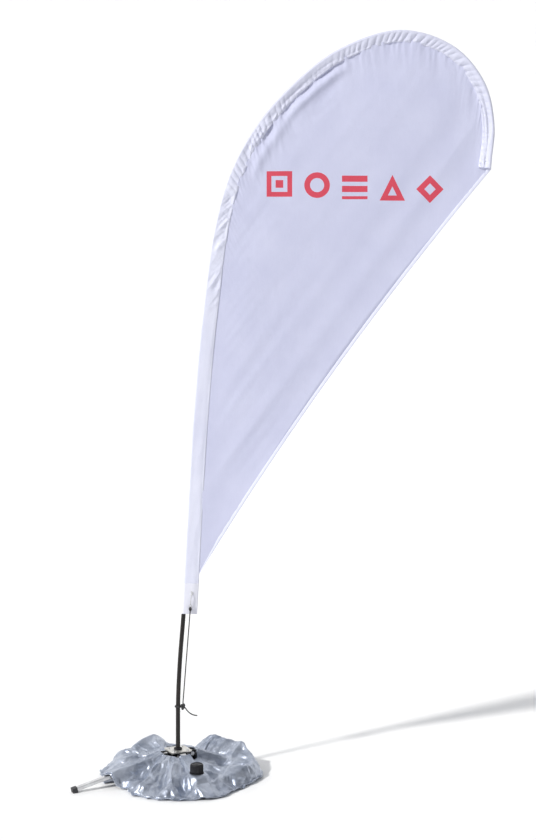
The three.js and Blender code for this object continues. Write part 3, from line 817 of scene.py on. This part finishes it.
def panel_front(spot, length, depth):
    """How far the panel stands out to the front at a spot, from its own folds."""
    x, z = spot
    strength = gathering(length)
    middle = math.exp(-depth / 0.1)
    full = puffs(length + 0.020 + 0.4 * GATHER_PITCH + 0.4 * depth) - 0.45
    out = -pucker(length) * math.exp(-depth / 0.028)
    out += strength * 3.0 * MM * full * math.exp(-depth / 0.018) * (1 - 0.6 * roll(length))
    out += strength * 1.3 * MM * ridge(length * 33, depth * 7, 12.5) * math.exp(-depth / 0.05)
    inside = smooth(depth, 0, 0.012)
    short = ridge(length * 19 + 8 * depth, depth * 12, 4.2) * math.exp(-depth / 0.045) * inside
    out += slack(length) * (5.2 * MM * short + 6.5 * MM * bell(depth, 0.05, 0.022))
    out += roll(length) * (9.0 * MM * bell(depth, 0.040, 0.016) - 4.0 * MM * bell(depth, 0.012, 0.011))
    out += roll(length) * 2.2 * MM * ridge(depth * 22, length * 6, 5.9) * middle * inside
    out += strength * middle * 1.8 * MM * soft(length * 14, depth * 6, 7.7) * inside
    lean, along = 0.8 * x - 0.6 * z, 0.6 * x + 0.8 * z
    out += 1.5 * MM * ridge(lean * 9, along * 0.35, 1.9) * smooth(depth, 0.02, 0.2)
    patch = smooth(soft(x * 2.2, z * 1.7, 9.4), -0.1, 0.7)
    out += 0.7 * MM * ridge(lean * 26, along * 0.8, 5.2) * patch * smooth(depth, 0.03, 0.12)
    out += 7 * MM * soft(x * 1.6, z * 1.1, 3.3) * smooth(depth, 0, 0.25)
    return out


PANEL_ROWS = 900
PANEL_COLUMNS = 64
HEM = 12 * MM


def panel_line(row):
    """One line of the panel's points, from the seam to the hem, with each point's depth."""
    share = row / PANEL_ROWS
    length, seam = seam_at(share)
    edge, inward = edge_at(share)
    end = edge + 0.4 * HEM * inward * min(1, 12 * share)
    line = []
    for column in range(PANEL_COLUMNS + 1):
        across_share = (column / PANEL_COLUMNS) ** 1.9
        spot = seam + (end - seam) * across_share
        depth = float(np.linalg.norm(spot - seam))
        line.append((spot, length, depth))
    return line


def edge_front(share):
    """A point of the free edge, the direction inward, and how far the cloth there stands out."""
    edge, inward = edge_at(share)
    length, seam = seam_at(max(share, 0.004))
    depth = float(np.linalg.norm(edge - seam))
    ripple = 0.5 * MM * soft(share * 90, 0.5, 5.1) * smooth(share, 0, 0.1)
    return edge, inward, panel_front(edge, length, depth) + ripple


def add_panel():
    points = []
    for row in range(PANEL_ROWS + 1):
        for spot, length, depth in panel_line(row):
            points.append(Vector((spot[0], -panel_front(spot, length, depth), spot[1])))
    faces = grid_faces(PANEL_ROWS + 1, PANEL_COLUMNS + 1)
    panel = thicken(mesh_object("panel", points, faces, PANEL_CLOTH), 0.5 * MM)
    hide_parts("flag_panel")
    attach(panel, "flag_on_pole")


def add_hem():
    """A folded strip over the free edge, with its outer fold rounded."""
    outline = [(0.0, 0.0), (1.0, 0.95), (4.0, 1.25), (10.0, 1.1), (12.0, 0.55)]
    section = outline + [(inward, -front) for inward, front in outline[:0:-1]]
    points = []
    rows = 420
    for row in range(rows + 1):
        share = row / rows
        edge, inward, out = edge_front(share)
        for across_mm, front in section:
            narrow = min(1, 10 * share + 0.1)
            spot = edge + across_mm * MM * inward * narrow
            points.append(Vector((spot[0], -out - front * MM, spot[1])))
    columns = len(section)
    faces = grid_faces(rows + 1, columns, wrap=True)
    faces.append(tuple(range(columns)))
    faces.append(tuple(range(rows * columns, (rows + 1) * columns)))
    hem = mesh_object("hem", points, faces, SLEEVE_CLOTH)
    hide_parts("free_edge_hem")
    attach(hem, "flag_on_pole")


def stitches(name, spots, width=0.8 * MM, proud=0.5 * MM):
    """Short raised stitches, each from a start, a stop and the way out of the cloth."""
    points, faces = [], []
    for start, stop, out in spots:
        ahead = (stop - start).normalized()
        side = ahead.cross(out).normalized() * width / 2
        base = len(points)
        for share, tall, wide in ((0, 0, 0.5), (0.25, 1, 1), (0.75, 1, 1), (1, 0, 0.5)):
            middle = start.lerp(stop, share)
            points += [middle - side * wide - out * 0.4 * MM, middle - side * wide * 0.6 + out * proud * tall,
                       middle + side * wide * 0.6 + out * proud * tall, middle + side * wide - out * 0.4 * MM]
        for ring in range(3):
            for turn in range(4):
                a, b = base + ring * 4 + turn, base + ring * 4 + (turn + 1) % 4
                faces.append((a, b, b + 4, a + 4))
        faces += [tuple(range(base, base + 4)), tuple(range(base + 12, base + 16))]
    piece = mesh_object(name, points, faces, THREAD)
    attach(piece, "flag_on_pole")


def add_stitches():
    """A row of stitches along both faces of the seam, and one along the hem."""
    spots = []
    pitch, stitch = 5.2 * MM, 3.6 * MM
    for front in (1, -1):
        out = Vector((0, -front, 0))
        length = SLEEVE_START + 4 * MM
        while length < LINE.length - 6 * MM:
            ends = []
            for where in (length, length + stitch):
                grow = 1.0 * MM if where < CUFF_TOP else 0
                ends.append(flag_point(where, reach(where) + 2.5 * MM,
                                       front * (0.95 * MM + grow) + pucker(where)))
            spots.append((ends[0], ends[1], out))
            length += pitch
    stitches("seam_stitches", spots)

    spots = []
    length = float(np.linalg.norm(np.diff(EDGE, axis=0), axis=1).sum())
    count = int(length / pitch)
    for index in range(4, count - 4):
        ends = []
        for where in (index / count, (index + stitch / pitch) / count):
            edge, inward, front = edge_front(where)
            spot = edge + 9 * MM * inward
            ends.append(Vector((spot[0], -front - 1.15 * MM, spot[1])))
        spots.append((ends[0], ends[1], Vector((0, -1, 0))))
    stitches("hem_stitches", spots, 0.7 * MM, 0.4 * MM)


add_sleeve()
add_panel()
add_hem()
add_stitches()


# ---- Water bag ----

# Heights and radii round the bag, in mm, at each angle from +X towards +Y.
BAG_ANGLES = [0, 22, 46, 62, 78, 92, 106, 120, 138, 160, 182, 204, 222, 240, 262, 282, 302, 322, 342]
BAG_OUT = [292, 288, 268, 258, 254, 254, 266, 272, 272, 274, 268, 264, 226, 248, 262, 262, 282, 262, 276]
BAG_CREST = [58, 80, 96, 90, 60, 48, 72, 90, 78, 56, 46, 42, 36, 30, 30, 34, 36, 38, 48]
BAG_CREST_AT = [270, 257, 226, 214, 208, 212, 208, 206, 214, 218, 214, 200, 166, 176, 190, 194, 204, 214, 250]
BAG_VALLEY = [34, 36, 46, 46, 40, 42, 58, 66, 60, 56, 62, 70, 66, 62, 64, 64, 62, 52, 40]
BAG_INNER = [70, 74, 80, 80, 74, 72, 76, 80, 80, 80, 86, 92, 94, 94, 92, 86, 78, 72, 70]
# Long folds pressed into the cloth, in mm: [start x, start y, stop x, stop y, height, width].
LONG_FOLDS = [
    [-232, -118, -72, -42, 17, 30], [-205, -62, -78, -14, -11, 26], [-150, -128, -62, -62, -12, 20],
    [-44, -82, -128, -222, 17, 26], [-22, -92, -66, -244, -11, 20], [6, -90, -22, -248, 14, 24],
    [34, -92, 40, -250, -14, 22], [64, -184, 100, -262, 13, 20], [60, -96, 180, -210, -10, 24],
    [86, -62, 262, -78, 15, 30], [98, -112, 240, -156, -8, 24], [92, -8, 276, 14, -13, 30],
    [84, 40, 262, 112, 9, 24], [62, 78, 156, 226, 8, 26], [30, 88, 70, 232, -8, 22],
    [0, 92, 6, 238, 8, 18], [-34, 86, -52, 232, -9, 22], [-62, 78, -122, 222, 7, 30],
    [-92, 52, -242, 116, 10, 28], [-92, 12, -256, 22, -12, 24], [-178, 96, -120, 208, 5, 22],
    [190, 40, 232, 150, 6, 22], [-150, -196, -96, -120, -8, 16], [130, -176, 176, -120, 8, 16],
]
BAG_HOLE = 69 * MM
# Each leg under the bag, in degrees and metres: direction, length from its pivot, foot's far end.
LEGS = [(207, 0.355, 0.4), (297, 0.228, 0.262), (27, 0.228, 0.262), (117, 0.228, 0.262)]
PIVOT_RADIUS, PIVOT_HEIGHT, LEG_DROP, LEG_COVER = 0.048, 0.084, 0.07608, 0.0125
FLOOR_CLEAR = 1.5 * MM
UNDER_STEPS, TOP_STEPS = 30, 52
CRUMPLE_CLOTH = {"quality": 4, "mass": 0.2, "tension_stiffness": 30, "compression_stiffness": 30,
                 "shear_stiffness": 8, "bending_stiffness": 1.2, "pin_stiffness": 0.35}
CRUMPLE_FRAMES, CRUMPLE_GROWTH, CRUMPLE_HOLD, CRUMPLE_LIMIT = 20, 0.07, 0.15, 8 * MM
VALVE = (77 * MM, -157 * MM)
VALVE_SEAT = 61.6 * MM


def round_bag(values, angle):
    """A smooth value round the bag at an angle in degrees."""
    count = len(BAG_ANGLES)
    angle %= 360
    index = max(i for i in range(count) if BAG_ANGLES[i] <= angle)
    start, stop = BAG_ANGLES[index], BAG_ANGLES[(index + 1) % count] + (360 if index == count - 1 else 0)
    share = (angle - start) / (stop - start)
    near = (values[(index + step) % count] for step in (-1, 0, 1, 2))
    return between(*near, share) * MM


def leg_top(x, y):
    """The height that the bag's underside must clear at a spot, over the floor or a leg."""
    clear = FLOOR_CLEAR
    for degrees, length, end in LEGS:
        angle = math.radians(degrees)
        along = x * math.cos(angle) + y * math.sin(angle)
        aside = abs(y * math.cos(angle) - x * math.sin(angle))
        if along < 0:
            continue
        slope = math.asin(LEG_DROP / length)
        top = PIVOT_HEIGHT - (along - PIVOT_RADIUS) * math.tan(slope) + LEG_COVER
        share = 1 - smooth(aside, 0.016, 0.046)
        share *= 1 - smooth(along, end, end + 0.03)
        clear = max(clear, FLOOR_CLEAR + (top - FLOOR_CLEAR) * share)
    return clear


def bag_column(degrees):
    """Points round the bag's section at an angle: along the floor, round the rim, back over the top."""
    angle = math.radians(degrees)
    hole = BAG_HOLE
    jag = 6 * MM * soft(math.cos(angle) * 3.2, math.sin(angle) * 3.2, 0.7)
    jag += 5 * MM * ridge(math.cos(angle) * 6, math.sin(angle) * 6, 2.7)
    out = round_bag(BAG_OUT, degrees) + jag
    crest_at = min(round_bag(BAG_CREST_AT, degrees), out - 14 * MM)
    heights = [round_bag(BAG_INNER, degrees), round_bag(BAG_VALLEY, degrees), round_bag(BAG_CREST, degrees)]
    radii = [hole, hole + 0.5 * (crest_at - hole), crest_at]
    rim = out - 0.28 * (out - crest_at)
    radii += [rim, out]
    heights += [heights[2] * 0.62, 9 * MM]

    section = []
    for step in range(UNDER_STEPS):
        section.append((hole + 2 * MM + (out - 6 * MM - hole) * step / (UNDER_STEPS - 1), None))
    for step in range(TOP_STEPS):
        share = step / (TOP_STEPS - 1)
        radius = out - (out - hole) * share ** 0.9
        section.append((radius, float(np.interp(radius, radii, heights))))
    points = []
    for radius, height in section:
        x, y = radius * math.cos(angle), radius * math.sin(angle)
        under = leg_top(x, y)
        if height is None:
            points.append([x, y, under])
            continue
        spread = smooth(radius, hole + 5 * MM, hole + 60 * MM)
        spread *= 1 - 0.7 * smooth(radius, out - 20 * MM, out)
        height += spread * bag_folds(angle, radius)
        seat = 1 - smooth(math.hypot(x - VALVE[0], y - VALVE[1]), 27 * MM, 62 * MM)
        height += (VALVE_SEAT - height) * seat
        points.append([x, y, max(height, under + 5 * MM)])
    return points


def long_folds(x, y):
    """Tent-shaped folds along the long lines, tapering out at their ends."""
    total = 0.0
    for start_x, start_y, stop_x, stop_y, height, width in LONG_FOLDS:
        along_x, along_y = stop_x - start_x, stop_y - start_y
        length = math.hypot(along_x, along_y)
        share = ((x - start_x) * along_x + (y - start_y) * along_y) / length ** 2
        if not -0.12 < share < 1.12:
            continue
        aside = ((x - start_x) * along_y - (y - start_y) * along_x) / length
        aside += 7 * soft(share * 2.3, start_x * 0.02, 3.7)
        wide = width * (0.55 + 0.75 * min(max(share, 0), 1))
        taper = smooth(share, -0.12, 0.2) * (1 - smooth(share, 0.85, 1.12))
        total += height * taper * max(0, 1 - abs(aside) / wide)
    return total * MM


def crease(x, y, z):
    """1 along narrow winding lines, and 0 away from them."""
    return max(0, 1 - abs(noise.noise(Vector((x, y, z)))) / 0.13)


def bag_folds(angle, radius):
    """Sharp folds that run outward from the middle, crossed by smaller ones."""
    x, y = math.cos(angle), math.sin(angle)
    total = long_folds(x * radius / MM, y * radius / MM)
    swirl = 0.5 * soft(radius * 7 + 4, y * 1.5, 6.2)
    x, y = x * math.cos(swirl) - y * math.sin(swirl), x * math.sin(swirl) + y * math.cos(swirl)
    total += 3 * MM * ridge(x * 2.6, y * 2.6, radius * 3 + 0.4)
    total += 2.5 * MM * ridge(x * 5.2 + 3, y * 5.2, radius * 5 + 2.4)
    total += 1.5 * MM * ridge(x * radius * 17, y * radius * 17, 7.9)
    total -= 2 * MM * ridge(x * radius * 11 + 7, y * radius * 11, 3.3)
    total -= 3.2 * MM * crease(x * 4.2, y * 4.2, radius * 8)
    total += 2.2 * MM * crease(x * 6.5 + 5, y * 6.5, radius * 11 + 3)
    return total


def evened_out(columns):
    """Even out the spacing of the points round each section."""
    evened = []
    for column in columns:
        column = np.array(column)
        closed = np.vstack([column, column[:1]])
        steps = np.linalg.norm(np.diff(closed, axis=0), axis=1)
        lengths = np.concatenate([[0], np.cumsum(steps)])
        where = np.linspace(0, lengths[-1], len(column), endpoint=False)
        evened.append(np.stack([np.interp(where, lengths, closed[:, axis]) for axis in range(3)], axis=1))
    return evened


def crumple(piece, frames, grow, hold):
    """Let the cloth grow a little against a soft hold, so that it buckles into creases."""
    scene = bpy.context.scene
    group = piece.vertex_groups.new(name="hold")
    group.add(range(len(piece.data.vertices)), hold, "REPLACE")
    cloth = piece.modifiers.new("crumple", "CLOTH")
    for key, value in CRUMPLE_CLOTH.items():
        setattr(cloth.settings, key, value)
    cloth.settings.vertex_group_mass = "hold"
    cloth.settings.shrink_min = cloth.settings.shrink_max = -grow
    cloth.settings.effector_weights.gravity = 0.0
    cloth.collision_settings.use_collision = False
    cloth.point_cache.frame_start = 1
    cloth.point_cache.frame_end = frames
    for step in range(1, frames + 1):
        scene.frame_set(step)
    graph = bpy.context.evaluated_depsgraph_get()
    moved = bpy.data.meshes.new_from_object(piece.evaluated_get(graph))
    before = np.array([v.co for v in piece.data.vertices])
    after = np.array([v.co for v in moved.vertices])
    piece.modifiers.remove(cloth)
    piece.vertex_groups.clear()
    scene.frame_set(1)
    return before, after


def add_bag():
    """The slumped ring bag, crumpled everywhere but round its filler."""
    around = 320
    columns = evened_out([bag_column(360 * step / around) for step in range(around)])
    count = len(columns[0])
    points = [point for column in columns + columns[:1] for point in column]
    bag = mesh_object("bag", points, grid_faces(around + 1, count, wrap=True), SILVER)
    before, after = crumple(bag, CRUMPLE_FRAMES, CRUMPLE_GROWTH, CRUMPLE_HOLD)
    move = after - before
    size = np.linalg.norm(move, axis=1, keepdims=True)
    move *= np.minimum(1, CRUMPLE_LIMIT / np.maximum(size, 1e-9))
    aside = np.hypot(before[:, 0] - VALVE[0], before[:, 1] - VALVE[1])
    move *= np.clip((aside - 28 * MM) / (30 * MM), 0, 1)[:, None]
    after = before + move
    for vertex, place in zip(bag.data.vertices, after):
        radius = math.hypot(place[0], place[1])
        if radius < BAG_HOLE - 2 * MM:
            place[:2] *= (BAG_HOLE - 2 * MM) / radius
        place[2] = max(place[2], leg_top(place[0], place[1]) - 0.5 * MM, 0.8 * MM)
        vertex.co = place
    bag.data.update()
    finer = bag.modifiers.new("finer", "SUBSURF")
    finer.levels = finer.render_levels = 1
    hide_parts("water_bag")
    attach(bag, "bag")


def add_bag_flange():
    """The bag's flat welded edge, standing out round its rim in waves."""
    points, around = [], 360
    for step in range(around):
        degrees = 360 * step / around
        angle = math.radians(degrees)
        x, y = math.cos(angle), math.sin(angle)
        out = max(math.hypot(p[0], p[1]) for p in bag_column(degrees))
        lift = (7.5 + 3.5 * ridge(x * 7, y * 7, 2.2) + 2 * soft(x * 21, y * 21, 4.9)) * MM
        wave = 2.4 * MM * soft(x * 16, y * 16, 8.2)
        for away, up, thick in ((-9, 0, 0.7), (0, 0.4, 0.7), (5, 0.8, 0.7), (9.5, 0.6, 0.6),
                                (9.5, 0.6, -0.6), (5, 0.8, -0.7), (0, 0.4, -0.7), (-9, 0, -0.7)):
            radius = out + away * MM
            ground = max(leg_top(radius * x, radius * y) - 1 * MM, 1.5 * MM)
            height = max(lift + (up + thick) * MM + wave * (away + 9) / 18, ground + (1.2 + thick) * MM)
            points.append((radius * x, radius * y, height))
    rows = [points[i * 8:(i + 1) * 8] for i in range(around)]
    rows.append(rows[0])
    flange = mesh_object("bag_flange", [p for row in rows for p in row],
                         grid_faces(around + 1, 8, wrap=True), SILVER)
    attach(flange, "bag")


# The cap in mm, from its open underside round to the top: [radius, height, share of the ribs' depth].
CAP_PROFILE = [
    (0, 86.4, 0), (15.0, 86.4, 0), (16.7, 85, 0), (16.7, 66.6, 0), (17.3, 66, 0), (22.2, 66, 0),
    (23, 67, 0.2), (23, 69, 1), (23, 88, 1), (22.6, 90.2, 0.5), (21.6, 91.8, 0), (20.4, 93.2, 0),
    (18.8, 94, 0), (17.6, 93.8, 0), (16.6, 92.6, 0), (14, 92.2, 0), (4, 92.2, 0), (3.2, 92.8, 0),
    (0, 92.9, 0),
]
CAP_RIBS, RIB_DEPTH = 27, 1.3


def add_valve_cap():
    """The ribbed screw cap on the bag's filler."""
    points, around = [], 216
    middle = Vector((77, -157, 0))
    for radius, height, ribs in CAP_PROFILE:
        for step in range(around):
            angle = 2 * math.pi * step / around
            rib = RIB_DEPTH * ribs * (0.5 - 0.5 * math.cos(CAP_RIBS * angle)) ** 0.5
            around_it = ((radius - rib) * math.cos(angle), (radius - rib) * math.sin(angle), height)
            points.append((middle + Vector(around_it)) * MM)
    cap = mesh_object("screw_cap", points, grid_faces(len(CAP_PROFILE), around, wrap=True), NYLON)
    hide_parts("valve_cap")
    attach(cap, "cap")


add_bag()
add_bag_flange()
add_valve_cap()


# ---- Carried-over CAD nodes ----

# The first pattern that a node's name fits gives its material.
FINISHES = [
    (NYLON, "leg_*_collar"), (FOOT_RUBBER, "leg_*_foot"), (RUBBER, "valve_seal"), (RUBBER, "post_foot"),
    (STEEL, "leg_*"), (STEEL, "bearing_*"), (STEEL, "spindle_rod"), (STEEL, "spindle_nut"),
    (STEEL, "plate_screw*"), (STEEL, "sleeve_eyelet"), (STEEL, "tension_hook"), (STEEL, "centre_post"),
    (STEEL, "*er_ferrule"), (PLATE, "hub_plate"), (NYLON, "hub_block"), (NYLON, "spindle_collar"),
    (NYLON, "pole_tip_cap"), (NYLON, "valve_*"), (COMPOSITE, "pole_*_section"), (CORD, "*_knot"),
]


def finish_nodes():
    """Gives each plain part its material."""
    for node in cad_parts:
        piece = bpy.data.objects.get(node)
        chosen = next((material for material, pattern in FINISHES if fnmatchcase(node, pattern)), None)
        if piece is None or piece.type != "MESH" or chosen is None:
            continue
        for slot in piece.material_slots:
            slot.material = chosen
        if not piece.material_slots:
            piece.data.materials.append(chosen)


finish_nodes()
